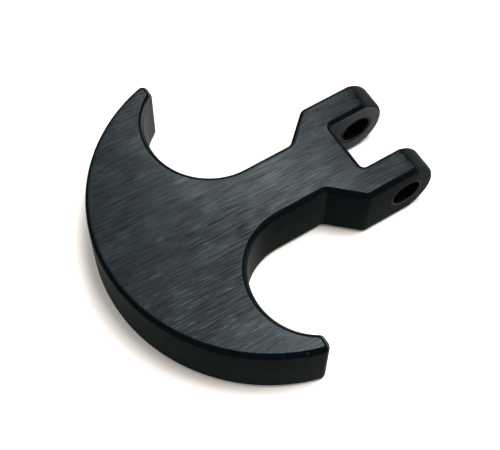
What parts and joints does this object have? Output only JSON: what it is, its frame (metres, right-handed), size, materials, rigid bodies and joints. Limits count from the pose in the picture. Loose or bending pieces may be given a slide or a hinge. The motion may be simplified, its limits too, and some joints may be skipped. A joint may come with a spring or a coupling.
{
  "type": "crescent clevis lever",
  "caption": "Thick half-moon lever plate with blunt horns, a short straight stem and a forked pin end whose ears hold sleeve bushes, black with a brushed face.",
  "frame": {"origin": "centre of the pin bore, midway between the two ears and halfway through the plate", "axes": "+X from the blade along the stem to the clevis, +Y along the pin, +Z out of the brushed face"},
  "size_m": [0.0664, 0.0682, 0.014],
  "materials": {
    "black_metal": "black anodised, brushed along the stem on the upper face, satin elsewhere",
    "bush_polymer": "matt black bearing plastic"
  },
  "bodies": {
    "root": {"crescent_body": "black_metal", "left_ear_bush": "bush_polymer", "right_ear_bush": "bush_polymer"}
  },
  "joints": []
}
